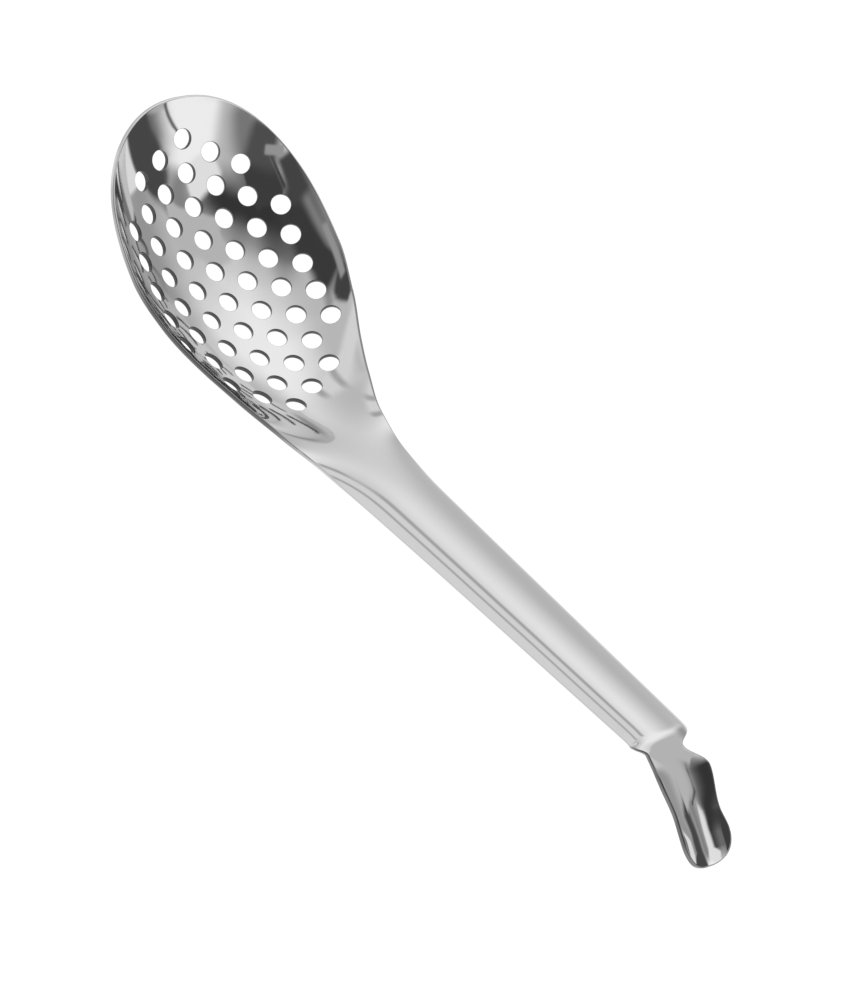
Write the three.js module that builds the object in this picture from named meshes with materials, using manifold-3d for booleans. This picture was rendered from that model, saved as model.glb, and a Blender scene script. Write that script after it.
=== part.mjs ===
// Kitchen skimmer, made from one blank of sheet steel.
// The blank is punched, dished into a spoon at one end, arched into a stiff handle along the rest, and
// narrowed at the far end to a tongue that is bent level and curled down as a hook.
//
// Millimetres, +Z up. The skimmer lies as it does on a table, on the belly of its bowl and the tip of
// its hook, with the handle along +X. The origin is the middle of its footprint, on the table.

import * as THREE from "three";
import { mergeVertices } from "three/addons/utils/BufferGeometryUtils.js";
import Module from "manifold-3d";

const wasm = await Module();
wasm.setup();

// Sheet
const sheetThickness = 1.1;

// Bowl. Lengths run along the sheet from the tip of the bowl, widths run across the flat blank.
const bowlLength = 105;
const bowlWidth = 64.9;
const bowlWidestAt = 45.8;
const tipExponent = 2.3;
const rimAngle = 43.8;
const rimRoundShare = 0.92;

// Perforations
const holeDiameter = 4.9;
const holeSpacing = 8.3;
const rowSpacing = 7.36;
const firstHoleAt = 10.3;
const holesInRow = [10, 9, 8, 5];
const rowStart = [0, 0.5, 1, 2.5];
const punchRatio = 4;

// Neck and handle
const neckBlend = 58;
const shoulderLength = 66;
const neckWidth = 24.1;
const gripAt = 24;
const gripWidth = 21.8;
const handleLength = 114.9;
const handleEndWidth = 16.6;
const handleEdgeAngle = 45;
const handleRoundShare = 1 / 3;

// Direction of the centre line in degrees above the bowl's own level
const tipAngle = -51.4;
const handleAngle = 28.3;
const centreLine = [
  // share of the bowl's length, degrees
  [0, tipAngle],
  [0.25, -19.5],
  [0.5, 0.8],
  [0.725, 17.2],
  [0.86, 32.4],
  [0.97, 38.1],
  [1.11, 34.4],
  [1.285, handleAngle],
];

// Tongue and hook
const tongueAngle = 4.4;
const tongueBendRadius = 3.6;
const tongueFlat = 20.7;
const curlRadius = 7;
const curlAngle = 70;
const notchLength = 3.8;
const notchSweep = 0.32;
const notchWidth = 11.7;
const swellWidth = 14.5;
const waistWidth = 12.5;
const hookWidth = 14;
const hookRound = 6.9;
const tongueForm = [
  // share of the way from the notch to the rounded end, width, share of the handle's arch
  [0, notchWidth, 2.6],
  [0.33, swellWidth, -0.45],
  [0.66, waistWidth, 0.65],
  [1, hookWidth, 1.25],
];

// Fineness of the faceted surface
const bowlStations = 30;
const bowlColumns = 15;
const handleStations = 24;
const hookStations = 30;
const stripColumns = 11;
const holeSides = 14;
const notchStations = 4;
const strokes = 12;
const step = 0.25;
const tipFlat = 0.02;

const half = 1 / 2;
const degrees = Math.PI / 180;

// Smooth curve through stations of [place, value] that never swings past a station's value
function smoothThrough(stations, startSlope, endSlope) {
  const last = stations.length - 1;
  const gap = [];
  const rise = [];
  for (let i = 0; i < last; i += 1) {
    gap.push(stations[i + 1][0] - stations[i][0]);
    rise.push((stations[i + 1][1] - stations[i][1]) / gap[i]);
  }
  const slope = [startSlope ?? rise[0]];
  for (let i = 1; i < last; i += 1) {
    const before = 2 * gap[i] + gap[i - 1];
    const after = gap[i] + 2 * gap[i - 1];
    const turns = rise[i - 1] * rise[i] <= 0;
    slope.push(turns ? 0 : (before + after) / (before / rise[i - 1] + after / rise[i]));
  }
  slope.push(endSlope ?? rise[last - 1]);
  return (place) => {
    let i = 0;
    while (i < last - 1 && place > stations[i + 1][0]) {
      i += 1;
    }
    const t = THREE.MathUtils.clamp((place - stations[i][0]) / gap[i], 0, 1);
    const ease = t * t * (3 - 2 * t);
    const bump = t * (1 - t) * gap[i];
    const level = stations[i][1] * (1 - ease) + stations[i + 1][1] * ease;
    return level + bump * ((1 - t) * slope[i] - t * slope[i + 1]);
  };
}

// Rounded end of a blank: 0 at its tip, 1 where it has its full width
function roundedEnd(share, squareness) {
  return (1 - (1 - share) ** squareness) ** (1 / squareness);
}

// Stations along the sheet
const handleEndAt = bowlLength + handleLength;
const tongueStart = handleEndAt + tongueBendRadius * (handleAngle + tongueAngle) * degrees;
const curlStart = tongueStart + tongueFlat;
const sheetEnd = curlStart + curlRadius * curlAngle * degrees;
const notchAt = handleEndAt + notchLength;
const hookRoundAt = sheetEnd - hookRound;
const tongueAt = (share) => notchAt + (hookRoundAt - notchAt) * share;

const bowlDirection = smoothThrough(
  centreLine.map(([share, angle]) => [share * bowlLength, angle * degrees]),
  undefined,
  0,
);

// Direction of the sheet's centre line, in radians, at a distance from the tip of the bowl
function direction(along) {
  if (along < handleEndAt) {
    return bowlDirection(along);
  }
  if (along < tongueStart) {
    return handleAngle * degrees - (along - handleEndAt) / tongueBendRadius;
  }
  return -tongueAngle * degrees - Math.max(0, along - curlStart) / curlRadius;
}

// Half width of the blank from the widest place of the bowl to the end of the handle
const neckAt = bowlWidestAt + shoulderLength;
const shoulder = [
  // share of the shoulder's length, share of its narrowing still to come
  [0, 1],
  [0.23, 0.87],
  [0.44, 0.63],
  [0.62, 0.405],
  [0.8, 0.15],
  [1, 0],
];
const stripHalfWidth = smoothThrough(
  [
    ...shoulder.map(([share, left]) => [
      bowlWidestAt + share * shoulderLength,
      (neckWidth + left * (bowlWidth - neckWidth)) * half,
    ]),
    [neckAt + gripAt, gripWidth * half],
    [handleEndAt, handleEndWidth * half],
  ],
  0,
  undefined,
);

// Half width of the tongue: cut in at the notch by a sweep, then waisted between two swells
const notchCut = handleEndWidth - notchWidth;
const tongueHalfWidth = smoothThrough(
  [
    [handleEndAt, handleEndWidth * half],
    [handleEndAt + notchLength * half, (handleEndWidth - notchSweep * notchCut) * half],
    ...tongueForm.map(([share, width]) => [tongueAt(share), width * half]),
  ],
  undefined,
  0,
);

function halfWidth(along) {
  if (along < bowlWidestAt) {
    return bowlWidth * half * roundedEnd(along / bowlWidestAt, tipExponent);
  }
  if (along < handleEndAt) {
    return stripHalfWidth(along);
  }
  const left = THREE.MathUtils.clamp((sheetEnd - along) / hookRound, 0, 1);
  return tongueHalfWidth(along) * roundedEnd(left, tipExponent);
}

// The half width that the section's bend is spread over: a rounded end is a piece of the same section
function formedHalfWidth(along) {
  const place = THREE.MathUtils.clamp(along, bowlWidestAt, handleEndAt);
  return stripHalfWidth(place);
}

// How much of the handle's arch the tongue keeps: more where it is narrow, and a hollow in its wide swell
const archKept = smoothThrough(
  [[handleEndAt, 1], ...tongueForm.map(([share, , arch]) => [tongueAt(share), arch])],
  0,
  0,
);

// Angle of the section at a distance across it: dished in the bowl, flat at the neck, arched in the handle
function bend(along, across) {
  const share = Math.abs(across) / formedHalfWidth(along);
  const dished = rimAngle * degrees * (rimRoundShare * share + (1 - rimRoundShare) * share ** 3);
  const crown = handleRoundShare * share + (1 - handleRoundShare) * share ** 3;
  const arched = handleEdgeAngle * degrees * crown;
  const turned = THREE.MathUtils.smootherstep(
    along,
    bowlLength - neckBlend * half,
    bowlLength + neckBlend * half,
  );
  const formed = (1 - turned) * dished - turned * arched * archKept(along);
  return Math.sign(across) * formed;
}

// The centre line itself, in the plane of symmetry, walked in short steps
const walk = [new THREE.Vector2(0, 0)];
for (let along = step * half; walk.length * step < sheetEnd + 2 * step; along += step) {
  const here = walk[walk.length - 1];
  const heading = direction(along);
  walk.push(new THREE.Vector2(here.x + step * Math.cos(heading), here.y + step * Math.sin(heading)));
}

function centrePoint(along) {
  const i = Math.floor(along / step);
  return walk[i].clone().lerp(walk[i + 1], along / step - i);
}

// A point of the sheet: along and across the blank, and off its middle surface, before it is laid down
function sheetPoint(along, across, off) {
  let side = 0;
  let up = 0;
  for (let i = 0; i < strokes; i += 1) {
    const angle = bend(along, (across * (i + half)) / strokes);
    side += (across * Math.cos(angle)) / strokes;
    up += (across * Math.sin(angle)) / strokes;
  }
  const angle = bend(along, across);
  side -= off * Math.sin(angle);
  up += off * Math.cos(angle);
  const centre = centrePoint(along);
  const heading = direction(along);
  return new THREE.Vector3(
    centre.x - up * Math.sin(heading),
    side,
    centre.y + up * Math.cos(heading),
  );
}

// Direction out of the sheet at a point of it
function sheetNormal(along, across) {
  const outside = sheetPoint(along, across, 1);
  return outside.sub(sheetPoint(along, across, 0)).normalize();
}

// Places along the sheet, closer together towards a rounded end
function stationsBetween(from, to, count, gatherStart, gatherEnd) {
  const places = [];
  for (let i = 0; i <= count; i += 1) {
    const t = i / count;
    const early = gatherStart ? 1 - Math.cos((t * Math.PI) / 2) : t;
    const late = gatherEnd ? Math.sin((t * Math.PI) / 2) : t;
    const eased = gatherStart && gatherEnd ? (1 - Math.cos(t * Math.PI)) * half : gatherEnd ? late : early;
    places.push(from + (to - from) * eased);
  }
  return places;
}

// One region of the sheet as a closed band: upper skin, lower skin, two cut edges and two ends
function formedRegion(places, columns) {
  const ring = 2 * (columns + 1);
  const positions = [];
  const index = [];
  for (const along of places) {
    const reach = halfWidth(along);
    for (let i = 0; i < ring; i += 1) {
      const upper = i <= columns;
      const column = upper ? i : ring - 1 - i;
      const across = reach * ((2 * column) / columns - 1);
      const off = sheetThickness * (upper ? half : -half);
      positions.push(...sheetPoint(along, across, off).toArray());
    }
  }
  const quad = (a, b, c, d) => index.push(a, b, c, a, c, d);
  for (let row = 0; row < places.length - 1; row += 1) {
    for (let i = 0; i < ring; i += 1) {
      const next = (i + 1) % ring;
      quad(row * ring + i, (row + 1) * ring + i, (row + 1) * ring + next, row * ring + next);
    }
  }
  const lastRow = (places.length - 1) * ring;
  for (let i = 0; i < columns; i += 1) {
    const under = ring - 1 - i;
    quad(i, i + 1, under - 1, under);
    quad(lastRow + i, lastRow + under, lastRow + under - 1, lastRow + i + 1);
  }
  const geometry = new THREE.BufferGeometry();
  geometry.setAttribute("position", new THREE.Float32BufferAttribute(positions, 3));
  geometry.setIndex(index);
  return geometry;
}

function toSolid(geometry) {
  geometry.deleteAttribute("normal");
  geometry.deleteAttribute("uv");
  const merged = mergeVertices(geometry);
  const vertProperties = new Float32Array(merged.getAttribute("position").array);
  const triVerts = new Uint32Array(merged.getIndex().array);
  return new wasm.Manifold(new wasm.Mesh({ numProp: 3, vertProperties, triVerts }));
}

function toGeometry(solid) {
  const mesh = solid.getMesh();
  const geometry = new THREE.BufferGeometry();
  geometry.setAttribute("position", new THREE.BufferAttribute(mesh.vertProperties, 3));
  geometry.setIndex(new THREE.BufferAttribute(mesh.triVerts, 1));
  return geometry;
}

// Places of the perforations: rows that run along the bowl, each staggered against its neighbour
function holePlaces() {
  const places = [];
  holesInRow.forEach((count, row) => {
    for (let i = 0; i < count; i += 1) {
      const along = firstHoleAt + (rowStart[row] + i) * holeSpacing;
      places.push([along, row * rowSpacing]);
      if (row > 0) {
        places.push([along, -row * rowSpacing]);
      }
    }
  });
  return places;
}

// A punch that stands square to the sheet at one perforation
function punch(along, across) {
  const punchLength = punchRatio * sheetThickness;
  const radius = holeDiameter * half;
  const geometry = new THREE.CylinderGeometry(radius, radius, punchLength, holeSides);
  const square = new THREE.Quaternion().setFromUnitVectors(
    new THREE.Vector3(0, 1, 0),
    sheetNormal(along, across),
  );
  geometry.applyQuaternion(square);
  geometry.translate(...sheetPoint(along, across, 0).toArray());
  return toSolid(geometry);
}

function perforated(geometry) {
  let punches;
  for (const [along, across] of holePlaces()) {
    const next = punch(along, across);
    punches = punches ? punches.add(next) : next;
  }
  return toGeometry(toSolid(geometry).subtract(punches));
}

// The three regions of the sheet. The bowl's ends where the neck's section is flat, and the handle's
// in the notch, so neighbours share one plane section of the sheet.
const bowl = perforated(
  formedRegion(stationsBetween(tipFlat, bowlLength, bowlStations, true, false), bowlColumns),
);
const handlePlaces = [
  ...stationsBetween(bowlLength, handleEndAt, handleStations, false, false),
  ...stationsBetween(handleEndAt, notchAt, notchStations, false, false).slice(1),
];
const handle = formedRegion(handlePlaces, stripColumns);
const hook = formedRegion(
  stationsBetween(notchAt, sheetEnd - tipFlat, hookStations, false, true),
  stripColumns,
);
const regions = [bowl, handle, hook];

// Laid down: the tilt at which the belly of the bowl and the tip of the hook touch the table together
function lowest(geometry, tilt) {
  const points = geometry.getAttribute("position");
  let low = Infinity;
  for (let i = 0; i < points.count; i += 1) {
    low = Math.min(low, points.getZ(i) * Math.cos(tilt) - points.getX(i) * Math.sin(tilt));
  }
  return low;
}

let steep = Math.PI / 4;
let shallow = 0;
while (steep - shallow > 1e-9) {
  const tilt = (steep + shallow) * half;
  if (lowest(hook, tilt) > lowest(bowl, tilt)) {
    shallow = tilt;
  } else {
    steep = tilt;
  }
}
const box = new THREE.Box3();
for (const geometry of regions) {
  geometry.rotateY(shallow);
  geometry.computeBoundingBox();
  box.union(geometry.boundingBox);
}
const footprint = box.getCenter(new THREE.Vector3()).setZ(box.min.z);
for (const geometry of regions) {
  geometry.translate(-footprint.x, -footprint.y, -footprint.z);
}

// Polished inside the bowl, a softer polish where the handle is held
const steel = (color, roughness) =>
  new THREE.MeshStandardMaterial({ color, roughness, metalness: 1 });

function piece(name, geometry, material) {
  geometry.computeVertexNormals();
  const mesh = new THREE.Mesh(geometry, material);
  mesh.name = name;
  return mesh;
}

const skimmer = new THREE.Group();
skimmer.add(
  piece("bowl", bowl, steel(0xd2d3d4, 0.1)),
  piece("handle", handle, steel(0xcfd0d1, 0.2)),
  piece("hook", hook, steel(0xcbccce, 0.15)),
);

export default skimmer;
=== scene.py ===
"""Studio picture of a small stainless steel kitchen skimmer.

The skimmer is one stamping: a flat blank is punched, dished into a spoon at one end, arched into a
handle along the rest, and curled down at the far end as a hook. The script works in that order. It
lays out the flat blank in millimetres, lets Geometry Nodes punch it, and then forms it, so every
vertex knows where it lies on the blank and gets the exact normal of the formed surface.
"""

import logging
import math
from collections.abc import Callable, Iterator, Sequence
from dataclasses import dataclass, field
from enum import Enum

import bpy
import numpy as np
from bpy.types import GeometryNodeTree, Material, Mesh, Node, NodeSocket, NodeTree, Object
from mathutils import Euler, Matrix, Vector
from mathutils.kdtree import KDTree


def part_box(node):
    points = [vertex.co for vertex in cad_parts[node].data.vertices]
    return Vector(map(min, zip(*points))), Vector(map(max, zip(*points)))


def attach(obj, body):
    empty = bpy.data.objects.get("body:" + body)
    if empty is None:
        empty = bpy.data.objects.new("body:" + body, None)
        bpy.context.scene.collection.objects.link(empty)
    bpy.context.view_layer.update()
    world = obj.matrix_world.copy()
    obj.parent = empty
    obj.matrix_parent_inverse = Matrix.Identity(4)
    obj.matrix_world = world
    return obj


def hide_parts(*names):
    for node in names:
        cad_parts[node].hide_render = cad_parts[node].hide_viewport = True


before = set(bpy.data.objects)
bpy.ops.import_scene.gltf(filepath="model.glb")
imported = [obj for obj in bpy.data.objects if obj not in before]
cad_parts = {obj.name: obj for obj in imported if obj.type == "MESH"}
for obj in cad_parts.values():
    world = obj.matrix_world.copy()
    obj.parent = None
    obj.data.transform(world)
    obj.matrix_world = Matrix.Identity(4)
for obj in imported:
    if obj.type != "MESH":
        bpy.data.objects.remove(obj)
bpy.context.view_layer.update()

MM = 0.001
# Mask of the sheared walls: it makes them rougher and paints their colour darker as painted shade
CUT_WALL_AND_SHADE = "cut_wall"
VECTOR_MATH = "ShaderNodeVectorMath"
WHITE = (1.0, 1.0, 1.0, 1.0)
TOLERANCE = 1e-4
LOG = logging.getLogger("skimmer")

Law = Callable[[np.ndarray], np.ndarray]
Triple = tuple[float, float, float]


class Region(Enum):
    """The three regions of the stamping, named as the nodes of the frame."""

    BOWL = "bowl"
    HANDLE = "handle"
    HOOK = "hook"


def linear(hex_colour: str) -> tuple[float, float, float, float]:
    """Turns an sRGB colour into the linear values that shaders want.

    Args:
        hex_colour: Six hexadecimal digits, such as "d2d3d4".

    Returns:
        Linear red, green and blue, with an alpha of 1.
    """
    channels = []
    for start in (0, 2, 4):
        value = int(hex_colour[start : start + 2], 16) / 255
        channels.append(value / 12.92 if value <= 0.04045 else ((value + 0.055) / 1.055) ** 2.4)
    return (*channels, 1.0)


def smooth_through(
    stations: Sequence[tuple[float, float]], start_slope: float | None = None,
    end_slope: float | None = None,
) -> Law:
    """Makes a smooth curve through stations that never swings past a station's value.

    Args:
        stations: Pairs of place and value, in order of place.
        start_slope: Slope at the first station, or None for that of the first stretch.
        end_slope: Slope at the last station, or None for that of the last stretch.

    Returns:
        A function from places to values.
    """
    place = np.array([station[0] for station in stations], float)
    value = np.array([station[1] for station in stations], float)
    gap = np.diff(place)
    rise = np.diff(value) / gap
    slope = np.zeros(len(place))
    before = 2 * gap[1:] + gap[:-1]
    after = gap[1:] + 2 * gap[:-1]
    steady = rise[:-1] * rise[1:] > 0
    first = np.where(steady, rise[:-1], 1)
    second = np.where(steady, rise[1:], 1)
    slope[1:-1] = np.where(steady, (before + after) / (before / first + after / second), 0)
    slope[0] = rise[0] if start_slope is None else start_slope
    slope[-1] = rise[-1] if end_slope is None else end_slope

    def law(at: np.ndarray) -> np.ndarray:
        """Reads the curve at the given places."""
        i = np.clip(np.searchsorted(place, at) - 1, 0, len(gap) - 1)
        t = np.clip((at - place[i]) / gap[i], 0, 1)
        ease = t * t * (3 - 2 * t)
        bump = t * (1 - t) * gap[i] * ((1 - t) * slope[i] - t * slope[i + 1])
        return value[i] * (1 - ease) + value[i + 1] * ease + bump

    return law


def rounded_end(share: np.ndarray, squareness: float) -> np.ndarray:
    """Width share of a rounded end: 0 at its tip, 1 where it has its full width."""
    return np.clip(1 - np.clip(1 - share, 0, 1) ** squareness, 0, 1) ** (1 / squareness)


def soft_step(along: np.ndarray, middle: float, length: float) -> np.ndarray:
    """Goes softly from 0 to 1 over a length.

    Args:
        along: Places.
        middle: Place where it's half way.
        length: Length it takes.

    Returns:
        One value for each place.
    """
    share = np.clip((along - middle) / length + 0.5, 0, 1)
    return share**2 * (3 - 2 * share)


def tube(rings: int, sides: int) -> Iterator[tuple[int, int, int, int]]:
    """Gives the corners of each face between rings of points that follow each other."""
    for low in range(0, (rings - 1) * sides, sides):
        for side in range(sides):
            following = (side + 1) % sides
            yield low + side, low + following, low + sides + following, low + sides + side


@dataclass(frozen=True)
class SheetSizes:
    """Driving sizes of the stamping, in millimetres and degrees.

    The bowl and the handle have the sizes of the part's source. The tongue is formed more closely.
    """

    thickness: float = 1.1
    bowl_length: float = 105.0
    bowl_width: float = 64.9
    bowl_widest_at: float = 45.8
    tip_squareness: float = 2.3
    rim_angle: float = 43.8
    rim_softening: float = 0.92
    neck_blend: float = 58.0
    shoulder_length: float = 66.0
    neck_width: float = 24.1
    grip_at: float = 24.0
    grip_width: float = 21.8
    handle_length: float = 114.9
    handle_end_width: float = 16.6
    handle_edge_angle: float = 45.0
    handle_crown: float = 1 / 3
    handle_rise: float = 28.3
    centre_line: tuple[tuple[float, float], ...] = (
        (0.0, -51.4), (0.25, -19.5), (0.5, 0.8), (0.725, 17.2),
        (0.86, 32.4), (0.97, 38.1), (1.11, 34.4), (1.285, 28.3),
    )
    shoulder: tuple[tuple[float, float], ...] = (
        (0.0, 1.0), (0.23, 0.87), (0.44, 0.63), (0.62, 0.405), (0.8, 0.15), (1.0, 0.0),
    )
    tongue_dip: float = 10.3
    tongue_bend_at: float = 1.4
    tongue_bend_length: float = 3.4
    tongue_flat: float = 23.45
    waist_bend: float = 4.8
    waist_bend_at: float = 0.67
    waist_bend_length: float = 8.2
    curl_radius: float = 17.9
    curl_angle: float = 11.2
    notch_length: float = 4.2
    notch_sweep: float = 0.33
    notch_shift: float = -1.7
    notch_shift_reach: float = 3.0
    hook_round: float = 6.4
    tongue_even_at: float = 2.0
    tongue_even_length: float = 6.0
    tongue_form: tuple[Triple, ...] = (
        (0.0, 9.9, 0.17), (0.293, 14.9, -0.6), (0.742, 12.6, -0.635), (1.0, 13.8, -0.8),
    )
    rest_tilt: float = 23.236
    tip_flat: float = 0.02
    # Share of the outer edge, by place along the sheet, that gets the rougher haze and the dark colour
    # of painted shade
    sheared_and_shaded_edge: tuple[tuple[float, float], ...] = (
        (35.0, 0.0), (55.0, 0.75), (95.0, 0.75), (112.0, 0.0), (219.0, 0.0), (221.0, 0.75),
    )


class FormedSheet:
    """The forming rule: where each point of the flat blank ends up in the pressed sheet."""

    def __init__(self, sizes: SheetSizes, bowl_corner: Sequence[float]) -> None:
        """Works out the stations and the laws along the sheet.

        Args:
            sizes: The driving sizes.
            bowl_corner: Lowest corner of the bowl in the frame, in metres.
        """
        self.sizes = z = sizes
        self.skin = z.thickness / 2
        self.handle_end = z.bowl_length + z.handle_length
        self.tongue_start = self.handle_end + z.tongue_bend_at + z.tongue_bend_length / 2
        self.curl_start = self.tongue_start + z.tongue_flat
        self.sheet_end = self.curl_start + z.curl_radius * math.radians(z.curl_angle)
        self.notch = self.handle_end + z.notch_length
        self.hook_round_at = self.sheet_end - z.hook_round
        self._bowl_direction = smooth_through(
            [(share * z.bowl_length, math.radians(angle)) for share, angle in z.centre_line],
            end_slope=0,
        )
        neck = z.bowl_widest_at + z.shoulder_length
        narrowing = z.bowl_width - z.neck_width
        shoulder = [
            (z.bowl_widest_at + share * z.shoulder_length, (z.neck_width + left * narrowing) / 2)
            for share, left in z.shoulder
        ]
        grip = [(neck + z.grip_at, z.grip_width / 2), (self.handle_end, z.handle_end_width / 2)]
        self._strip = smooth_through(shoulder + grip, start_slope=0)
        notch_cut = z.handle_end_width - z.tongue_form[0][1]
        sweep = (z.handle_end_width - z.notch_sweep * notch_cut) / 2
        stations = [grip[-1], (self.handle_end + z.notch_length / 2, sweep)]
        stations += [(self.tongue_at(share), width / 2) for share, width, _ in z.tongue_form]
        self._tongue = smooth_through(stations, end_slope=0)
        kept = [(self.tongue_at(share), arch) for share, _, arch in z.tongue_form]
        self._arch_kept = smooth_through([(self.handle_end, 1.0)] + kept, 0, 0)
        self._walk_centre_line()
        self._lay_down(bowl_corner)

    def tongue_at(self, share: float) -> float:
        """Place along the sheet at a share of the way from the notch to the rounded end."""
        return self.notch + (self.hook_round_at - self.notch) * share

    def direction(self, along: np.ndarray) -> np.ndarray:
        """Direction of the centre line, in radians above the bowl's own level."""
        z = self.sizes
        turned = soft_step(along - self.handle_end, z.tongue_bend_at, z.tongue_bend_length)
        waist = soft_step(along, self.tongue_at(z.waist_bend_at), z.waist_bend_length)
        bent = math.radians(z.handle_rise + z.tongue_dip) * turned
        bent = bent + math.radians(z.waist_bend) * waist
        curled = np.clip(along - self.curl_start, 0, None) / z.curl_radius
        return self._bowl_direction(along) - bent - curled

    def half_width(self, along: np.ndarray) -> np.ndarray:
        """Half width of the flat blank."""
        z = self.sizes
        tip = z.bowl_width / 2 * rounded_end(along / z.bowl_widest_at, z.tip_squareness)
        left = (self.sheet_end - along) / z.hook_round
        tongue = self._tongue(along) * rounded_end(left, z.tip_squareness)
        width = np.where(along < z.bowl_widest_at, tip, self._strip(along))
        return np.where(along >= self.handle_end, tongue, width)

    def bend(self, along: np.ndarray, across: np.ndarray) -> np.ndarray:
        """Angle of the cross-section: dished in the bowl, arched along the handle, cupped after it."""
        z = self.sizes
        place = np.clip(along, z.bowl_widest_at, self.handle_end)
        share = np.abs(across) / self._strip(place)
        dished = math.radians(z.rim_angle) * (
            z.rim_softening * share + (1 - z.rim_softening) * share**3
        )
        even = soft_step(along - self.handle_end, z.tongue_even_at, z.tongue_even_length)
        even = z.handle_crown + (1 - z.handle_crown) * even
        arched = math.radians(z.handle_edge_angle) * (even * share + (1 - even) * share**3)
        t = np.clip((along - z.bowl_length) / z.neck_blend + 0.5, 0, 1)
        turned = t**3 * (t * (6 * t - 15) + 10)
        formed = (1 - turned) * dished - turned * arched * self._arch_kept(along)
        return np.sign(across) * formed

    def _walk_centre_line(self) -> None:
        """Adds up short steps of the centre line, in the plane of symmetry."""
        step = 0.25
        self._steps = np.arange(0, self.sheet_end + 2 * step, step)
        heading = self.direction(self._steps[:-1] + step / 2)
        self._centre_x = np.concatenate([[0], np.cumsum(np.cos(heading)) * step])
        self._centre_z = np.concatenate([[0], np.cumsum(np.sin(heading)) * step])

    def upright(self, blank: np.ndarray) -> np.ndarray:
        """Forms points of the blank, before the skimmer is laid down.

        The two sides of the notch aren't cut alike, so the sheet runs a little off centre there.

        Args:
            blank: Rows of place along, place across and height off the middle surface.

        Returns:
            The formed points, in millimetres.
        """
        strokes = 12
        along, across, off = blank.T
        side = np.zeros_like(along)
        up = np.zeros_like(along)
        for stroke in range(strokes):
            angle = self.bend(along, across * (stroke + 0.5) / strokes)
            side += across * np.cos(angle) / strokes
            up += across * np.sin(angle) / strokes
        angle = self.bend(along, across)
        side = side - off * np.sin(angle)
        up = up + off * np.cos(angle)
        reach = self.sizes.notch_shift_reach
        side += self.sizes.notch_shift * np.exp(-(((along - self.notch) / reach) ** 2))
        heading = self.direction(along)
        centre_x = np.interp(along, self._steps, self._centre_x)
        centre_z = np.interp(along, self._steps, self._centre_z)
        x = centre_x - up * np.sin(heading)
        z = centre_z + up * np.cos(heading)
        return np.stack([x, side, z], axis=1)

    def _lay_down(self, bowl_corner: Sequence[float]) -> None:
        """Tilts the skimmer onto its belly and the tip of its hook, where the frame's bowl lies.

        Args:
            bowl_corner: Lowest corner of the bowl in the frame, in metres.
        """
        tilt = math.radians(self.sizes.rest_tilt)
        cos, sin = math.cos(tilt), math.sin(tilt)
        self._turn = np.array([[cos, 0, sin], [0, 1, 0], [-sin, 0, cos]])
        rows, columns = 500, 81
        places = np.linspace(self.sizes.tip_flat, self.sizes.bowl_length, rows)
        along, share = np.meshgrid(places, np.linspace(-1, 1, columns), indexing="ij")
        across = share * self.half_width(along)
        lower = np.full(along.size, -self.skin)
        bowl = self.upright(np.stack([along.ravel(), across.ravel(), lower], axis=1))
        low = (bowl @ self._turn.T).min(axis=0)
        self._footprint = low - np.array(bowl_corner) / MM
        self._footprint[1] = 0

    def form(self, blank: np.ndarray) -> np.ndarray:
        """Forms points of the blank and lays them on the table, in metres."""
        return (self.upright(blank) @ self._turn.T - self._footprint) * MM

    def form_normals(self, blank: np.ndarray, normals: np.ndarray) -> np.ndarray:
        """Carries normals of the flat blank over to the formed sheet.

        Args:
            blank: Points of the blank.
            normals: The blank's own normal at each point.

        Returns:
            Unit normals of the formed sheet.
        """
        reach = 0.02
        columns = []
        for nudge in np.eye(3) * reach:
            columns.append((self.form(blank + nudge) - self.form(blank - nudge)) / (2 * reach))
        jacobian = np.stack(columns, axis=2)
        formed = np.linalg.solve(np.transpose(jacobian, (0, 2, 1)), normals[:, :, None])[:, :, 0]
        return formed / np.linalg.norm(formed, axis=1, keepdims=True)


@dataclass(frozen=True)
class FlatSlab:
    """One region of the flat blank: its points, faces and the outward normal at each point."""

    points: np.ndarray
    faces: list[tuple[int, ...]]
    normals: np.ndarray


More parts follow.
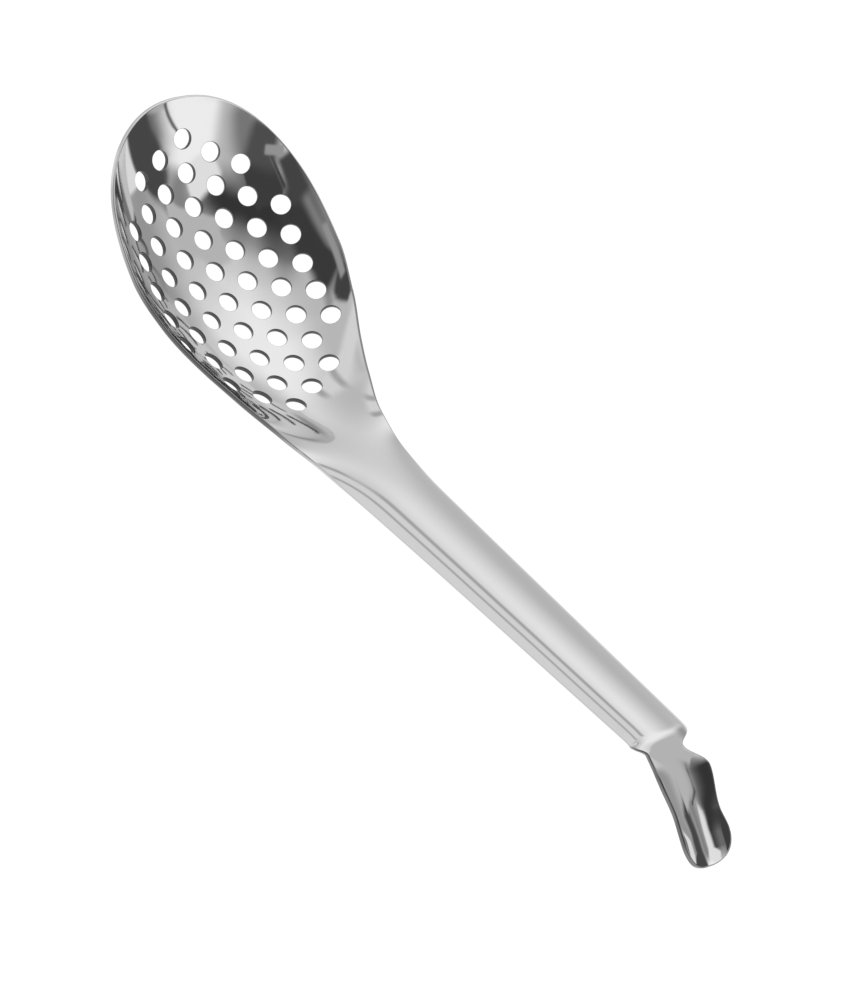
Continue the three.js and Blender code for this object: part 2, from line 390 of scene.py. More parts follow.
@dataclass
class BlankCutter:
    """Lays out the regions of the flat blank with a rounded cut edge.

    Attributes:
        sheet: The forming rule, which also knows the outline.
        columns: Cells across the blank.
        edge_round: Radius that polishing gives to the cut edge.
        edge_steps: Steps in each quarter turn of that edge.
        row_steps: Usual distance between stations in each region.
        notch_step: That distance at the notch.
    """

    sheet: FormedSheet
    columns: int = 64
    edge_round: float = 0.38
    edge_steps: int = 5
    row_steps: tuple[float, ...] = (1.0, 1.3, 0.6)
    notch_step: float = 0.3

    def stations(self, start: float, end: float, step: float) -> np.ndarray:
        """Places along a region, closer together at a rounded end of the blank and at the notch.

        Args:
            start: First place.
            end: Last place.
            step: Usual distance between places.

        Returns:
            The places, in order.
        """
        # Near a rounded end 13 stations, closer and closer, stand for the last eight steps
        gather, gathered, tightness = 8 * step, 13, 2.4
        end_reach = 1.0
        notch_reach, clearance = 1.5, 0.1
        places = np.linspace(start, end, max(2, round((end - start) / step)) + 1)
        ease = np.linspace(0, 1, gathered + 2)[1:-1] ** tightness * gather
        if start < end_reach:
            places = np.concatenate([[start], start + ease, places[places > start + gather]])
        if end > self.sheet.sheet_end - end_reach:
            inner = places[places < end - gather]
            places = np.concatenate([inner, end - ease[::-1], [end]])
        if end == self.sheet.notch:
            fine = np.arange(self.sheet.handle_end - notch_reach, end, self.notch_step)
            places = np.concatenate([places[places < fine[0] - clearance], fine, [end]])
        return places

    def outline(self, along: np.ndarray, region: Region) -> tuple[np.ndarray, np.ndarray]:
        """Outward direction of the outline on the side where across is positive.

        Args:
            along: The stations of a region.
            region: The region, whose directions stay square where it meets another.

        Returns:
            The lengthwise and the crosswise part of the direction.
        """
        width = self.sheet.half_width(along)
        slope = np.gradient(width, along)
        length = np.hypot(slope, 1)
        lengthwise, crosswise = -slope / length, 1 / length
        if region is not Region.BOWL:
            lengthwise[0], crosswise[0] = 0, 1
        if region is not Region.HOOK:
            lengthwise[-1], crosswise[-1] = 0, 1
        return lengthwise, crosswise

    def cut(self, region: Region) -> FlatSlab:
        """Cuts one region of the blank as a closed slab.

        Args:
            region: Which region.

        Returns:
            The slab, in blank coordinates.
        """
        sheet = self.sheet
        tip = sheet.sizes.tip_flat
        bounds = (tip, sheet.sizes.bowl_length, sheet.notch, sheet.sheet_end - tip)
        order = list(Region).index(region)
        along = self.stations(bounds[order], bounds[order + 1], self.row_steps[order])
        lengthwise, crosswise = self.outline(along, region)
        inner_along = along - self.edge_round * lengthwise
        inner_across = sheet.half_width(along) - self.edge_round * crosswise
        profile = self._edge_profile()
        points, normals = [], []
        share = np.linspace(-1, 1, self.columns + 1)
        for place, width, out in zip(inner_along, inner_across, zip(lengthwise, crosswise)):
            upper = [(place, s * width, sheet.skin) for s in share]
            right = [self._edge_point(place, width, out, turn, off) for turn, off in profile]
            points += upper + right + [(s, v, -h) for s, v, h in reversed(upper)]
            points += self._across_from(right)
            side = [self._edge_normal(out, turn, off) for turn, off in profile]
            normals += [(0.0, 0.0, 1.0)] * len(upper) + side
            normals += [(0.0, 0.0, -1.0)] * len(upper) + self._across_from(side)
        ring = len(points) // len(along)
        faces = [(a, d, c, b) for a, b, c, d in tube(len(along), ring)]
        last = (len(along) - 1) * ring
        if region is Region.BOWL:
            corner = (inner_along[0], inner_across[0])
            faces += self._close(points, normals, 0, corner, lengthwise[0])
        else:
            faces.append(tuple(range(ring)))
        if region is Region.HOOK:
            corner = (inner_along[-1], inner_across[-1])
            faces += self._close(points, normals, last, corner, lengthwise[-1])
        else:
            faces.append(tuple(last + i for i in reversed(range(ring))))
        return FlatSlab(np.array(points), faces, np.array(normals))

    def _edge_profile(self) -> list[tuple[float, float]]:
        """Steps down the rounded cut edge, as turn from the skin in radians and height."""
        turns = [math.pi / 2 * k / self.edge_steps for k in range(1, self.edge_steps + 1)]
        round_off = [self.edge_round * (1 - math.cos(turn)) for turn in turns]
        upper = [(turn, self.sheet.skin - lower) for turn, lower in zip(turns, round_off)]
        return upper + [(turn, -off) for turn, off in reversed(upper)]

    @staticmethod
    def _across_from(triples: list[Triple]) -> list[Triple]:
        """The same points or directions on the other side of the blank, in the opposite order."""
        return [(along, -across, off) for along, across, off in reversed(triples)]

    def _edge_point(
        self, place: float, width: float, out: tuple[float, float], turn: float, off: float
    ) -> Triple:
        """Point of the rounded edge beside the inner corner of a skin."""
        reach = self.edge_round * math.sin(turn)
        return (place + reach * out[0], width + reach * out[1], off)

    @staticmethod
    def _edge_normal(out: tuple[float, float], turn: float, off: float) -> Triple:
        """Normal of the rounded edge."""
        lean = math.sin(turn)
        return (lean * out[0], lean * out[1], math.copysign(math.cos(turn), off))

    def _close(
        self, points: list[Triple], normals: list[Triple], base: int, corner: tuple[float, float],
        outward: float,
    ) -> list[tuple[int, ...]]:
        """Closes a rounded end of the blank with the same rounded edge.

        Args:
            points: The slab's points, which grow by the new ones.
            normals: The slab's normals, which grow likewise.
            base: Index of the first point of the end's ring.
            corner: Place along and place across of the end's inner corner.
            outward: Outward direction of the end, lengthwise.

        Returns:
            The new faces.
        """
        profile = self._edge_profile()
        count, steps = self.columns + 1, len(profile)
        rows = [[base + c for c in range(count)]]
        for k, (turn, off) in enumerate(profile):
            row = [base + 2 * count + steps + (steps - 1 - k)]
            for c in range(1, count - 1):
                across = corner[1] * (2 * c / self.columns - 1)
                row.append(len(points))
                points.append(self._edge_point(corner[0], across, (outward, 0.0), turn, off))
                normals.append(self._edge_normal((outward, 0.0), turn, off))
            row.append(base + count + k)
            rows.append(row)
        rows.append([base + count + steps + (count - 1 - c) for c in range(count)])
        faces = []
        for upper, lower in zip(rows[:-1], rows[1:]):
            for c in range(count - 1):
                face = (upper[c], upper[c + 1], lower[c + 1], lower[c])
                faces.append(face[::-1] if outward > 0 else face)
        return faces


@dataclass
class Perforations:
    """The staggered field of punched holes, made by Geometry Nodes on the flat blank.

    Attributes:
        sheet: The forming rule.
        diameter: Diameter of a hole in the formed bowl.
        spacing: Distance between holes of one row.
        row_spacing: Distance between rows.
        first_at: Place of the first hole along the sheet.
        holes_in_row: Holes in the middle row and in each row outwards.
        row_start: Where each row starts, in hole spacings after the first hole.
        edge_round: Radius that polishing gives to a hole's edge.
        edge_steps: Steps in the quarter turn of that edge.
        sides: Sides of a hole.
        drawn_slope: Slope of the skins at a hole, where punching drew the sheet in.
        drawn_reach: Length over which that slope fades.
    """

    sheet: FormedSheet
    diameter: float = 4.9
    spacing: float = 8.3
    row_spacing: float = 7.36
    first_at: float = 10.3
    holes_in_row: tuple[int, ...] = (10, 9, 8, 5)
    row_start: tuple[float, ...] = (0.0, 0.5, 1.0, 2.5)
    edge_round: float = 0.17
    edge_steps: int = 3
    sides: int = 40
    drawn_slope: float = 0.022
    drawn_reach: float = 1.3

    def rows(self) -> Iterator[tuple[int, float, float]]:
        """Gives each row's number of holes, where its first hole lies and how far across it lies."""
        for row, (count, first) in enumerate(zip(self.holes_in_row, self.row_start)):
            for side in (1, -1) if row else (1,):
                yield count, self.first_at + first * self.spacing, side * row * self.row_spacing

    def centres(self) -> Iterator[tuple[float, float]]:
        """Gives the middle of each hole on the blank."""
        for count, start, across in self.rows():
            for hole in range(count):
                yield start + hole * self.spacing, across

    def row_starts(self) -> Object:
        """Makes one point for each row, which carries the number of holes in the row."""
        starts = [(start, across, 0) for _, start, across in self.rows()]
        holes = [count for count, _, _ in self.rows()]
        mesh = bpy.data.meshes.new("row_starts")
        mesh.from_pydata(starts, [], [])
        mesh.attributes.new("holes", "INT", "POINT").data.foreach_set("value", holes)
        return link_object("row_starts", mesh)

    def punch(self) -> Object:
        """Makes one punch, flared at both skins so that it leaves a rounded edge."""
        skin, radius = self.sheet.skin, self.diameter / 2
        clear = 0.004
        overshoot = 0.5
        profile = []
        for k in range(self.edge_steps + 1):
            turn = math.pi / 2 * k / self.edge_steps
            height = skin + clear - self.edge_round * (1 - math.sin(turn))
            profile.append((radius + self.edge_round * (1 - math.cos(turn)), height))
        profile.append((profile[-1][0], skin + overshoot))
        profile = [(r, -h) for r, h in reversed(profile)] + profile
        points = []
        for r, height in profile:
            for side in range(self.sides):
                turn = 2 * math.pi * side / self.sides
                points.append((r * math.cos(turn), r * math.sin(turn), height))
        faces = list(tube(len(profile), self.sides))
        faces.append(tuple(reversed(range(self.sides))))
        faces.append(tuple(len(points) - self.sides + side for side in range(self.sides)))
        mesh = bpy.data.meshes.new("punch")
        mesh.from_pydata(points, [], faces)
        return link_object("punch", mesh)

    def curvatures(self) -> tuple[float, float]:
        """Curvature of the bowl lengthwise and crosswise at its middle, per millimetre."""
        sizes = self.sheet.sizes
        middle_stretch = np.array([0.2, 0.7]) * sizes.bowl_length
        lengthwise = np.diff(self.sheet.direction(middle_stretch))[0] / np.diff(middle_stretch)[0]
        crosswise = math.radians(sizes.rim_angle) * sizes.rim_softening / (sizes.bowl_width / 2)
        return float(lengthwise), crosswise

    def tree(self) -> GeometryNodeTree:
        """Builds the tree that sets out the holes and punches them through the blank."""
        tree = bpy.data.node_groups.new("punch_holes", "GeometryNodeTree")
        given = add_sockets(
            tree,
            {
                "Geometry": ("Blank",), "Object": ("Row starts", "Punch"),
                "Float": ("Hole spacing", "Lengthwise curvature", "Crosswise curvature"),
                "Material": ("Steel",),
            },
            ("Geometry", "Punched"),
        )
        rows = add_node(tree, "GeometryNodeObjectInfo", Object=given["Row starts"]).outputs
        holes = add_node(tree, "GeometryNodeInputNamedAttribute", {"data_type": "INT"}, Name="holes")
        repeated = add_node(
            tree, "GeometryNodeDuplicateElements", {"domain": "POINT"}, Geometry=rows["Geometry"],
            Amount=holes.outputs["Attribute"],
        ).outputs
        shift = compute(tree, "MULTIPLY", repeated["Duplicate Index"], given["Hole spacing"])
        along = add_node(tree, "ShaderNodeCombineXYZ", X=shift).outputs[0]
        lattice = add_node(
            tree, "GeometryNodeSetPosition", Geometry=repeated["Geometry"], Offset=along
        )
        place = add_node(tree, "GeometryNodeInputPosition")
        across = add_node(tree, "ShaderNodeSeparateXYZ", i0=place.outputs[0]).outputs["Y"]
        # A hole high on the bowl's side shrinks lengthwise when it is formed, so it is punched longer
        height = compute(tree, "MULTIPLY", across, across)
        height = compute(tree, "MULTIPLY", height, given["Crosswise curvature"])
        shrink = compute(tree, "MULTIPLY", height, given["Lengthwise curvature"])
        kept = compute(tree, "SUBTRACT", 1.0, compute(tree, "MULTIPLY", shrink, 0.5))
        stretch = compute(tree, "DIVIDE", 1.0, kept)
        scale = add_node(tree, "ShaderNodeCombineXYZ", X=stretch, Y=1.0, Z=1.0)
        tool = add_node(tree, "GeometryNodeObjectInfo", Object=given["Punch"])
        punches = add_node(
            tree, "GeometryNodeInstanceOnPoints", Points=lattice.outputs["Geometry"],
            Instance=tool.outputs["Geometry"], Scale=scale.outputs[0],
        )
        solid = add_node(tree, "GeometryNodeRealizeInstances", i0=punches.outputs[0])
        punched = add_node(
            tree, "GeometryNodeMeshBoolean", {"operation": "DIFFERENCE", "solver": "MANIFOLD"},
            i0=given["Blank"], i1=solid.outputs[0],
        )
        split_up = add_node(tree, "GeometryNodeTriangulate", i0=punched.outputs[0])
        real = add_node(tree, "GeometryNodeRealizeInstances", i0=split_up.outputs[0])
        dressed = add_node(
            tree, "GeometryNodeSetMaterial", Geometry=real.outputs[0], Material=given["Steel"]
        )
        add_node(tree, "NodeGroupOutput", i0=dressed.outputs[0])
        return tree

    def apply(self, blank: Object, steel: Material) -> Mesh:
        """Punches the blank.

        Args:
            blank: The bowl's region of the flat blank.
            steel: The material of the punched mesh.

        Returns:
            The punched blank as a plain mesh.
        """
        tree = self.tree()
        lengthwise, crosswise = self.curvatures()
        tools = (self.row_starts(), self.punch())
        values = {
            "Row starts": tools[0], "Punch": tools[1], "Hole spacing": self.spacing,
            "Lengthwise curvature": lengthwise, "Crosswise curvature": crosswise, "Steel": steel,
        }
        modifier = blank.modifiers.new("punch_holes", "NODES")
        modifier.node_group = tree
        for item in tree.interface.items_tree:
            if item.in_out == "INPUT" and item.name in values:
                modifier[item.identifier] = values[item.name]
        graph = bpy.context.evaluated_depsgraph_get()
        mesh = bpy.data.meshes.new_from_object(blank.evaluated_get(graph), depsgraph=graph)
        blank.modifiers.remove(modifier)
        for tool in tools:
            bpy.data.meshes.remove(tool.data)
        return mesh

    def drawn_in(self, points: np.ndarray) -> np.ndarray:
        """Slope of the skins where punching drew the sheet in round each hole.

        It is too slight to move a point, but the reflections swerve at each hole because of it.

        Args:
            points: Points of the punched blank.

        Returns:
            Slope along and slope across at each point.
        """
        slope = np.zeros((len(points), 2))
        radius = self.diameter / 2
        for centre in self.centres():
            offset = points[:, :2] - np.array(centre)
            distance = np.maximum(np.hypot(*offset.T), radius)
            fade = np.exp(-(distance - radius) / self.drawn_reach)
            slope += offset * (self.drawn_slope * fade / distance)[:, None]
        return slope

    def normals(self, points: np.ndarray) -> tuple[np.ndarray, np.ndarray]:
        """Normals at the points of the blank that lie on a hole's wall or rounded edge.

        Args:
            points: Points of the punched blank.

        Returns:
            Which points those are, and their normals.
        """
        lengthwise, crosswise = self.curvatures()
        skin = self.sheet.skin
        inside = np.zeros(len(points), bool)
        normals = np.zeros_like(points)
        margin = 0.05
        reach = self.diameter / 2 + self.edge_round + margin
        for along, across in self.centres():
            stretch = 1 / (1 - lengthwise * crosswise * across**2 / 2)
            offset = points[:, :2] - np.array([along, across])
            offset[:, 0] /= stretch
            near = np.hypot(*offset.T) < reach
            near &= np.abs(points[:, 2]) < skin - TOLERANCE
            outward = offset[near] / np.array([stretch, 1])
            outward /= np.linalg.norm(outward, axis=1, keepdims=True)
            height = points[near, 2]
            rise = (np.abs(height) - (skin - self.edge_round)) / self.edge_round
            rise = np.clip(rise, 0, 1)
            level = np.sqrt(1 - rise**2)[:, None]
            up = (np.sign(height) * rise)[:, None]
            normals[near] = np.concatenate([-outward * level, up], axis=1)
            inside |= near
        return inside, normals


def link_object(name: str, data: bpy.types.ID) -> Object:
    """Makes an object of a mesh or a camera and links it to the scene."""
    made = bpy.data.objects.new(name, data)
    bpy.context.scene.collection.objects.link(made)
    return made


def add_node(
    tree: NodeTree, kind: str, settings: dict[str, object] | None = None, **inputs: object
) -> Node:
    """Adds a node with its settings and links.

    Args:
        tree: The tree that gets the node.
        kind: The node's type name.
        settings: Properties of the node, set before its sockets are filled.
        **inputs: A value or an output for each input, by name, or as i0, i1 by position.

    Returns:
        The node.
    """
    node = tree.nodes.new(kind)
    for name, value in (settings or {}).items():
        setattr(node, name, value)
    for name, value in inputs.items():
        by_place = name[0] == "i" and name[1:].isdigit()
        socket = node.inputs[int(name[1:]) if by_place else name.replace("_", " ")]
        if isinstance(value, NodeSocket):
            tree.links.new(value, socket)
        else:
            socket.default_value = value
    return node


def compute(
    tree: NodeTree, operation: str, *values: object, kind: str = "ShaderNodeMath"
) -> NodeSocket:
    """Adds a math node with its inputs in order, and gives back its first output."""
    inputs = {f"i{place}": value for place, value in enumerate(values)}
    return add_node(tree, kind, {"operation": operation}, **inputs).outputs[0]


def add_sockets(
    tree: NodeTree, inputs: dict[str, tuple[str, ...]], output: tuple[str, str]
) -> bpy.types.bpy_prop_collection:
    """Gives a node group its sockets.

    Args:
        tree: The node group.
        inputs: Names of the input sockets of each type.
        output: Type and name of the output socket.

    Returns:
        The inputs, as its nodes can take them.
    """
    for kind, names in inputs.items():
        for name in names:
            tree.interface.new_socket(name=name, in_out="INPUT", socket_type=f"NodeSocket{kind}")
    kind, name = output
    tree.interface.new_socket(name=name, in_out="OUTPUT", socket_type=f"NodeSocket{kind}")
    return add_node(tree, "NodeGroupInput").outputs


@dataclass(frozen=True)
class PolishedSteel:
    """Stainless steel sheet, 18/10, ground and buffed after pressing.

    Buffing leaves a mirror with the faintest haze. The pressed sheet behind it isn't quite even, so
    reflections waver over one or two centimetres, and fine buffing marks soften them in streaks.

    Attributes:
        name: Name of the material.
        colour: Colour of the steel, in sRGB hex.
        painted_cut_shade: Colour where the punch sheared it, which the buffing wheel doesn't reach,
            darkened as painted shade inside the holes and along the cut edge.
        roughness: Haze of the polish.
        cut_roughness: Haze of the sheared walls.
        waviness: Height of the unevenness, in metres.
        wave_length: Its usual length, in metres.
        mark_scale: Fineness of the buffing marks, in noise cells to the metre.
        mark_depth: Share by which the marks change the haze, either way.
    """

    name: str
    colour: str = "d6d6d6"
    # Dark colour of the sheared walls, which is painted shade inside the holes and on the cut edge
    painted_cut_shade: str = "565656"
    roughness: float = 0.055
    cut_roughness: float = 0.3
    waviness: float = 0.00001
    wave_length: float = 0.014
    mark_scale: float = 90.0
    mark_depth: float = 0.25

    def build(self) -> Material:
        """Builds the material."""
        material = bpy.data.materials.new(self.name)
        material.use_nodes = True
        tree = material.node_tree
        tree.nodes.clear()
        place = add_node(tree, "ShaderNodeTexCoord").outputs["Object"]
        wave = add_node(
            tree, "ShaderNodeTexNoise", Vector=place, Scale=1 / self.wave_length, Detail=1.0
        )
        bump = add_node(
            tree, "ShaderNodeBump", Height=wave.outputs[0], Distance=self.waviness, Strength=1.0
        )
        marks = add_node(
            tree, "ShaderNodeTexNoise", Vector=place, Scale=self.mark_scale, Detail=4.0
        )
        spread = add_node(
            tree, "ShaderNodeMapRange", Value=marks.outputs[0],
            To_Min=self.roughness * (1 - self.mark_depth),
            To_Max=self.roughness * (1 + self.mark_depth),
        )
        # The sheared walls get a rougher haze and a darker colour, which is painted shade inside the
        # holes and on the cut edge
        cut = add_node(tree, "ShaderNodeAttribute", {"attribute_name": CUT_WALL_AND_SHADE}).outputs["Fac"]
        tones = {"A": linear(self.colour), "B": linear(self.painted_cut_shade)}
        colour = add_node(tree, "ShaderNodeMix", {"data_type": "RGBA"}, Factor=cut, **tones)
        matt = add_node(tree, "ShaderNodeMix", i0=cut, i2=spread.outputs[0], i3=self.cut_roughness)
        shader = add_node(
            tree, "ShaderNodeBsdfPrincipled", Base_Color=colour.outputs["Result"], Metallic=1.0,
            Roughness=matt.outputs[0], Normal=bump.outputs[0],
        )
        add_node(tree, "ShaderNodeOutputMaterial", Surface=shader.outputs[0])
        return material


@dataclass
class Skimmer:
    """The whole stamping, made region by region.

    Attributes:
        sizes: Its driving sizes.
    """

    sizes: SheetSizes = field(default_factory=SheetSizes)

    def __post_init__(self) -> None:
        """Sets up the forming rule, the blank and the perforations."""
        self.sheet = FormedSheet(self.sizes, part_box(Region.BOWL.value)[0])
        self.cutter = BlankCutter(self.sheet)
        self.perforations = Perforations(self.sheet)

    def build(self, region: Region, finish: PolishedSteel) -> Object:
        """Makes one region of the formed sheet.

        Args:
            region: Which region.
            finish: Its finish.

        Returns:
            The piece, which stands for the frame's node of that name.
        """
        steel = finish.build()
        slab = self.cutter.cut(region)
        flat = bpy.data.meshes.new(f"{region.value}_blank")
        flat.from_pydata(slab.points.tolist(), [], slab.faces)
        if region is Region.BOWL:
            blank = link_object(flat.name, flat)
            mesh = self.perforations.apply(blank, steel)
            bpy.data.meshes.remove(flat)
        else:
            mesh = flat
            mesh.materials.append(steel)
        mesh.name = f"{region.value}_sheet"
        self._form(mesh, slab)
        piece = link_object(f"{region.value}_sheet", mesh)
        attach(piece, "root")
        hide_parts(region.value)
        LOG.info("%s: %d faces", piece.name, len(mesh.polygons))
        return piece

    def _form(self, mesh: Mesh, slab: FlatSlab) -> None:
        """Forms a flat mesh and gives it the exact normals of the formed sheet.

        Args:
            mesh: The flat mesh, in millimetres.
            slab: The slab that it was made from.
        """
        count = len(mesh.vertices)
        points = np.empty(count * 3)
        mesh.vertices.foreach_get("co", points)
        points = points.reshape(-1, 3)
        normals, cut = self._flat_normals(points, slab)
        corners = np.empty(len(mesh.loops), int)
        mesh.loops.foreach_get("vertex_index", corners)
        formed = self.sheet.form_normals(points, normals)[corners]
        for plane in (self.sizes.bowl_length, self.sheet.notch):
            on_plane = np.abs(points[:, 0] - plane) < TOLERANCE
            side = -1.0 if points[:, 0].mean() > plane else 1.0
            for face in mesh.polygons:
                if all(on_plane[i] for i in face.vertices):
                    where = points[list(face.vertices)]
                    flat = np.tile([side, 0.0, 0.0], (len(where), 1))
                    end = face.loop_start + face.loop_total
                    formed[face.loop_start : end] = self.sheet.form_normals(where, flat)
        # The mask carries both the real roughness of the sheared walls and their painted shade
        walls = mesh.attributes.new(CUT_WALL_AND_SHADE, "FLOAT", "POINT")
        walls.data.foreach_set("value", cut.astype(np.float32))
        mesh.vertices.foreach_set("co", self.sheet.form(points).ravel())
        mesh.polygons.foreach_set("use_smooth", [True] * len(mesh.polygons))
        mesh.normals_split_custom_set(formed.tolist())
        mesh.update()

    def _flat_normals(
        self, points: np.ndarray, slab: FlatSlab
    ) -> tuple[np.ndarray, np.ndarray]:
        """Finds the flat blank's own normal at each point of a mesh made from a slab.

        Args:
            points: Points of the mesh.
            slab: The slab, whose points keep their normals.

        Returns:
            Unit normals, and how far each point shows the sheared edge, which is rougher and painted
            darker as shade:
            the walls of the holes wholly, the outer edge over the stretches listed in
            sheared_and_shaded_edge.
        """
        normals = np.zeros_like(points)
        normals[:, 2] = np.sign(points[:, 2])
        edge = np.abs(points[:, 2]) < self.sheet.skin - TOLERANCE
        normals[:, :2] = -self.perforations.drawn_in(points) * normals[:, 2:]
        pierced, wall = self.perforations.normals(points)
        normals[pierced] = wall[pierced]
        tree = KDTree(len(slab.points))
        for i, point in enumerate(slab.points):
            tree.insert(point, i)
        tree.balance()
        outer = edge & ~pierced
        for i in np.nonzero(outer)[0]:
            normals[i] = slab.normals[tree.find(points[i])[1]]
        normals /= np.linalg.norm(normals, axis=1, keepdims=True)
        # Hole walls wholly, and the outer edge over the listed stretches, get the rougher haze and the
        # painted shade of the darker colour
        sheared = np.where(pierced, 1.0, 0.0)
        sheared[outer] = np.interp(points[outer, 0], *zip(*self.sizes.sheared_and_shaded_edge))
        return normals, sheared


@dataclass(frozen=True)
class CameraPose:
    """The photograph's camera, as a place and three turns about X, Y and Z.

    Attributes:
        place: Place of the camera, in metres.
        turns: Turns in degrees.
        lens: Focal length in millimetres on a 36 mm sensor.
    """

    place: tuple[float, float, float] = (0.42992, -0.45896, 0.48063)
    turns: tuple[float, float, float] = (51.7, -14.665, 54.282)
    lens: float = 126.0


@dataclass(frozen=True)
class Panel:
    """One soft box or dark flag, set out on a flat map of the sky.

    The map has the zenith at 0, 0 and +X to the right. Distances from the zenith are degrees, so the
    horizon is the circle at 90.

    Attributes:
        name: What it is.
        centre: Its middle on the map.
        half_size: Half its width and half its height.
        tone: The grey it shows in polished steel, in sRGB hex.
        turn: Turn against the clock, in degrees.
        soft: Width of its soft edge.
    """

    name: str
    centre: tuple[float, float]
    half_size: tuple[float, float]
    tone: str
    turn: float = 0.0
    soft: float = 3.0


STUDIO_PANELS = (
    Panel("main soft box", (-24.2, 33.5), (50.7, 40.3), "ebebeb", -51, 34.4),
    Panel("west end of the main box", (-58.4, -38.4), (32.9, 16.4), "eaeaea", -9, 16.4),
    Panel("shade of the main box", (0.9, 75.7), (39, 25.3), "959595", 9, 23.2),
    Panel("far corner of the main box", (15.6, 91.9), (10.5, 12.3), "dadada", -29, 2),
    Panel("low north wall", (-49.9, 65.5), (27.1, 41.4), "b3b3b3", 38, 27.1),
    Panel("low back wall", (12.3, -45.2), (38.4, 8.2), "757575", -3, 7.7),
    Panel("second soft box", (67.7, 43.7), (32.2, 36.5), "eeeeee", -1, 14.1),
    Panel("skirt of the second box", (47, -11.7), (50.5, 20.4), "777777", 4, 17.7),
    Panel("grey side of the second box", (48.7, 74.7), (27.8, 31.9), "616161", 1, 27.2),
    Panel("far rail", (53.5, 88.1), (27.1, 5.2), "acacac", -48, 3.4),
    Panel("dark flag", (36.7, 83.1), (17.1, 33.8), "464646", 0, 5),
    Panel("foot of the dark flag", (33.8, 44.5), (17.7, 13.6), "828282", -4, 13.2),
    Panel("stand", (66.8, 60.1), (2.5, 14.4), "535353", -12, 2.3),
    Panel("gap between the boxes", (29.6, -4.7), (23.8, 48.7), "333333", -19, 23),
    Panel("corner of the main box", (20, 38.5), (9.5, 18), "b4b4b4", 4, 2.5),
    Panel("corner of the second box", (47.4, 27), (10.5, 16), "e0e0e0", 35, 4),
    Panel("frame of the main box", (30, 35), (1.1, 8), "303030", 0, 1.2),
    Panel("dark ceiling", (8.1, -29.4), (26.8, 14.1), "393939", 9, 7.8),
    Panel("end of the dark ceiling", (-19.2, -36.7), (7.3, 8.1), "3f3f3f", 26, 2.6),
    Panel("lit edge of the ceiling", (-4, -40.7), (15.2, 3), "929292", -14, 1.7),
    Panel("dark wall", (44.9, -16.6), (14.3, 13), "3c3c3c", 8, 1.2),
    Panel("dark corner of the wall", (59.5, -22.9), (18.6, 17.3), "4d4d4d", -29, 9.5),
    Panel("rod", (43.6, -26.8), (14.6, 0.8), "a5a5a5", 9, 2.5),
    Panel("dark card", (35.5, -38.4), (14.5, 9.8), "434343", 2, 5.1),
    Panel("pale card", (52.9, -30.6), (3.8, 8.5), "949494", -23, 1.6),
    Panel("left card", (-40, -13), (8, 27), "d2d2d2", 0, 5),
    Panel("left rod", (-40, 14.5), (8, 5.5), "a0a0a0", 0, 5),
    Panel("second left rod", (-40, -4), (8, 5), "a4a4a4", 0, 4.5),
)


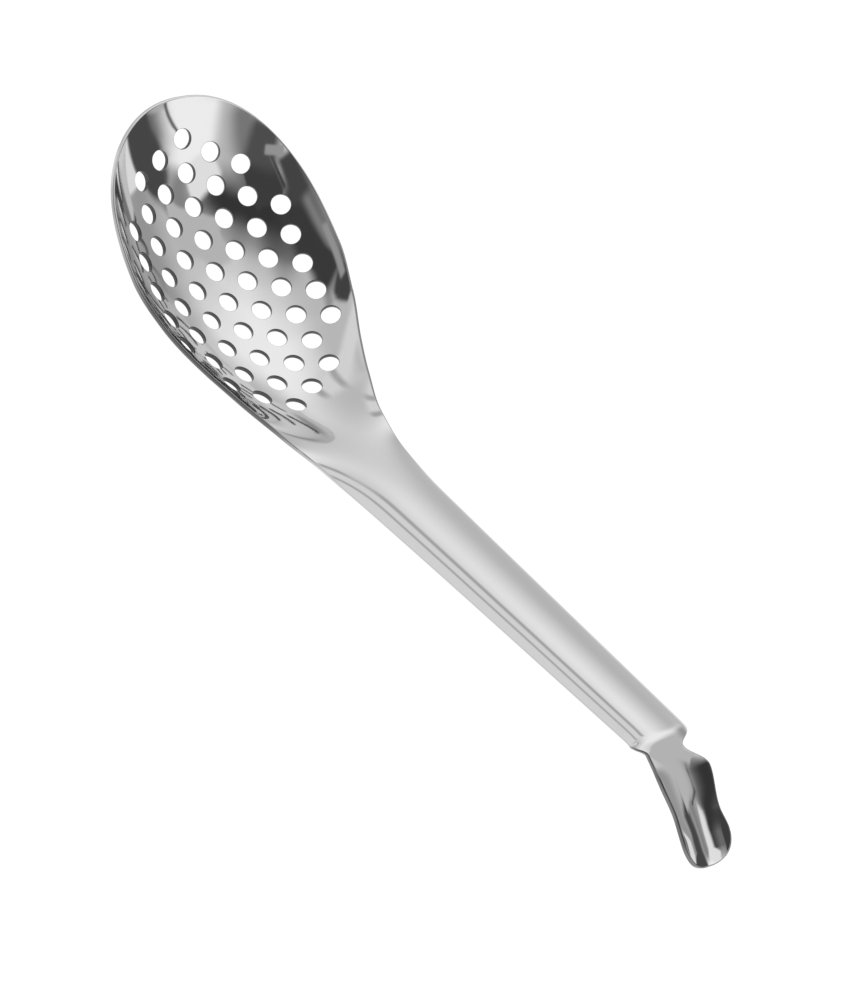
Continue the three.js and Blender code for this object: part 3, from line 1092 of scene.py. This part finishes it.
@dataclass
class Studio:
    """Plain pale floor, soft light and the camera of the photograph.

    Attributes:
        pose: The camera's place and turns.
        panels: Soft boxes and flags, the later ones in front.
        open_sky: Grey that steel shows where no panel stands.
        table_shine: Grey that steel shows of the table, which begins at the horizon.
        horizon: Degrees from the zenith between which the sky turns into the table.
        gain: Brightness of a panel for each unit of brightness that steel shows of it.
        floor_reach: Half the side of the white table, in metres.
        floor_colour: Colour of the table, in sRGB hex.
        floor_glow: Strength of the light inside it.
    """

    pose: CameraPose = field(default_factory=CameraPose)
    panels: tuple[Panel, ...] = STUDIO_PANELS
    open_sky: str = "b8b8b8"
    table_shine: str = "d8d8d8"
    horizon: tuple[float, float] = (94.0, 98.0)
    gain: float = 1.45
    floor_reach: float = 0.5
    floor_colour: str = "5c5c5c"
    floor_glow: float = 0.96

    def place_camera(self) -> None:
        """Puts up the camera."""
        data = bpy.data.cameras.new("camera")
        data.lens = self.pose.lens
        data.sensor_width = 36.0
        data.sensor_fit = "AUTO"
        data.clip_start = 0.01
        data.clip_end = 50.0
        camera = link_object("camera", data)
        camera.location = self.pose.place
        camera.rotation_euler = Euler([math.radians(turn) for turn in self.pose.turns])
        bpy.context.scene.camera = camera

    def lay_floor(self) -> None:
        """Lays a white floor, lit from inside like a light table so that it takes no hard shadow."""
        reach = self.floor_reach
        mesh = bpy.data.meshes.new("floor")
        corners = [(-reach, -reach, 0), (reach, -reach, 0), (reach, reach, 0), (-reach, reach, 0)]
        mesh.from_pydata(corners, [], [(0, 1, 2, 3)])
        material = bpy.data.materials.new("white_light_table")
        material.use_nodes = True
        shader = material.node_tree.nodes["Principled BSDF"]
        for name, value in (
            ("Base Color", linear(self.floor_colour)), ("Roughness", 0.9),
            ("Emission Color", WHITE), ("Emission Strength", self.floor_glow),
        ):
            shader.inputs[name].default_value = value
        mesh.materials.append(material)
        floor = link_object("floor", mesh)
        # Steel shows the table as a part of the sky map, so that no edge of it appears there
        floor.visible_glossy = False

    def light(self) -> None:
        """Hangs the soft boxes and flags round the table."""
        world = bpy.data.worlds.new("studio")
        bpy.context.scene.world = world
        world.use_nodes = True
        tree = world.node_tree
        tree.nodes.clear()
        sky, drop = self._sky_map(tree)
        group = self._panel_group()
        below = add_node(
            tree, "ShaderNodeMapRange", {"interpolation_type": "SMOOTHSTEP"}, Value=drop,
            From_Min=self.horizon[0], From_Max=self.horizon[1], To_Min=linear(self.open_sky)[0],
            To_Max=linear(self.table_shine)[0],
        )
        tone = below.outputs[0]
        for panel in self.panels:
            hung = add_node(
                tree, "ShaderNodeGroup", {"node_tree": group, "label": panel.name}, Sky=sky,
                Behind=tone, Centre=(*panel.centre, 0), Half_size=(*panel.half_size, 0),
                Turn=math.radians(panel.turn), Soft=panel.soft, Tone=linear(panel.tone)[0],
            )
            tone = hung.outputs[0]
        panels = add_node(tree, "ShaderNodeBackground", Color=tone, Strength=self.gain)
        # The camera itself sees a blank white backdrop instead of the panels
        backdrop = add_node(tree, "ShaderNodeBackground", Color=WHITE, Strength=1.0)
        seen = add_node(tree, "ShaderNodeLightPath").outputs["Is Camera Ray"]
        shown = add_node(
            tree, "ShaderNodeMixShader", i0=seen, i1=panels.outputs[0], i2=backdrop.outputs[0]
        )
        add_node(tree, "ShaderNodeOutputWorld", Surface=shown.outputs[0])
        bpy.context.scene.view_settings.view_transform = "Standard"

    @staticmethod
    def _sky_map(tree: NodeTree) -> tuple[NodeSocket, NodeSocket]:
        """Turns a direction into its place on the flat map of the sky, in degrees.

        Args:
            tree: The world's tree.

        Returns:
            The place, and its distance from the zenith.
        """
        heading = add_node(tree, "ShaderNodeTexCoord").outputs["Generated"]
        split = add_node(tree, "ShaderNodeSeparateXYZ", i0=heading).outputs
        level = add_node(tree, "ShaderNodeCombineXYZ", X=split["X"], Y=split["Y"])
        bearing = compute(tree, "NORMALIZE", level.outputs[0], kind=VECTOR_MATH)
        drop = compute(tree, "DEGREES", compute(tree, "ARCCOSINE", split["Z"]))
        place = add_node(tree, VECTOR_MATH, {"operation": "SCALE"}, i0=bearing, Scale=drop)
        return place.outputs[0], drop

    @staticmethod
    def _panel_group() -> NodeTree:
        """Builds the node group of one panel, which shows its tone inside a soft-edged box."""
        tree = bpy.data.node_groups.new("panel", "ShaderNodeTree")
        given = add_sockets(
            tree,
            {"Vector": ("Sky", "Centre", "Half size"), "Float": ("Behind", "Turn", "Soft", "Tone")},
            ("Float", "Shown"),
        )
        from_centre = compute(tree, "SUBTRACT", given["Sky"], given["Centre"], kind=VECTOR_MATH)
        back = compute(tree, "MULTIPLY", given["Turn"], -1.0)
        about = {"rotation_type": "Z_AXIS"}
        turned = add_node(tree, "ShaderNodeVectorRotate", about, Vector=from_centre, Angle=back)
        one_side = compute(tree, "ABSOLUTE", turned.outputs[0], kind=VECTOR_MATH)
        beyond = compute(tree, "SUBTRACT", one_side, given["Half size"], kind=VECTOR_MATH)
        # The edge fades over its soft width, from inside the panel to its outline
        round_off = add_node(tree, "ShaderNodeCombineXYZ", X=given["Soft"], Y=given["Soft"])
        inner = compute(tree, "ADD", beyond, round_off.outputs[0], kind=VECTOR_MATH)
        kept = compute(tree, "MAXIMUM", inner, kind=VECTOR_MATH)
        reach = add_node(tree, VECTOR_MATH, {"operation": "LENGTH"}, i0=kept)
        fade = add_node(
            tree, "ShaderNodeMapRange", {"interpolation_type": "SMOOTHSTEP"},
            Value=reach.outputs["Value"], From_Max=given["Soft"], To_Min=given["Tone"],
            To_Max=given["Behind"],
        )
        add_node(tree, "NodeGroupOutput", i0=fade.outputs[0])
        return tree


def main() -> None:
    """Builds the skimmer and the studio."""
    logging.basicConfig(level=logging.INFO, format="%(message)s")
    studio = Studio()
    studio.place_camera()
    skimmer = Skimmer()
    for region in Region:
        skimmer.build(region, PolishedSteel(f"buffed_stainless_{region.value}"))
    studio.lay_floor()
    studio.light()


if __name__ == "__main__":
    main()
